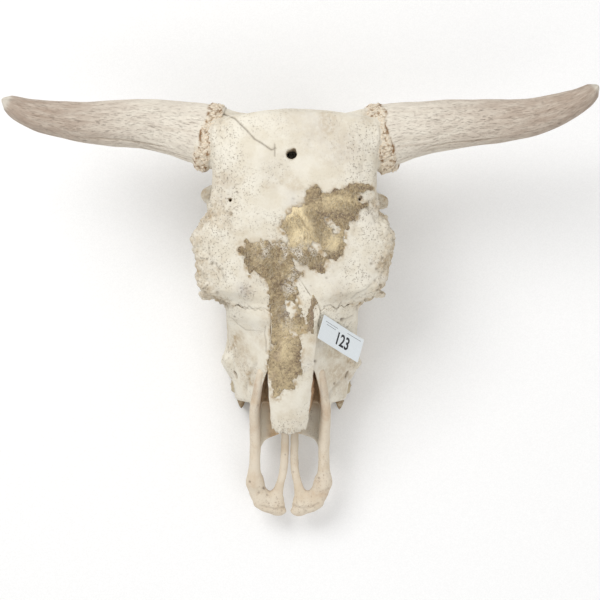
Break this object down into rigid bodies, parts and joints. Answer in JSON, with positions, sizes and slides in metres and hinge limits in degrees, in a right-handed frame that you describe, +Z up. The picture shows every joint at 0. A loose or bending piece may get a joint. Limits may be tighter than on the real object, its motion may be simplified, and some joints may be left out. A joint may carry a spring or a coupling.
{
  "type": "cow skull",
  "caption": "Dry skull of an adult cow without its lower jaw, with long spreading horn cores, dried hide on the forehead and nose, and a plain number card on the cheek",
  "frame": {"origin": "on the floor, under the middle of the whole skull", "axes": "+Z up, +Y from the muzzle towards the poll, +X towards the animal's left"},
  "size_m": [0.6178, 0.4646, 0.194],
  "materials": {
    "bone": "dry cream bone with fine pores and cracks",
    "horn_bone": "dry pinkish brown bone with fine grooves along it",
    "hide": "dried golden brown hide",
    "card": "smooth white card"
  },
  "bodies": {
    "root": {"cranium": "bone", "occipital_bone": "bone", "cheekbone_left": "bone", "cheekbone_right": "bone", "upper_jaw_left": "bone", "upper_jaw_right": "bone", "nasal_bone_left": "bone", "nasal_bone_right": "bone", "muzzle_bone_left": "bone", "muzzle_bone_right": "bone", "horn_core_left": "horn_bone", "horn_core_right": "horn_bone", "dried_hide": "hide", "lot_tag": "card"}
  },
  "joints": []
}
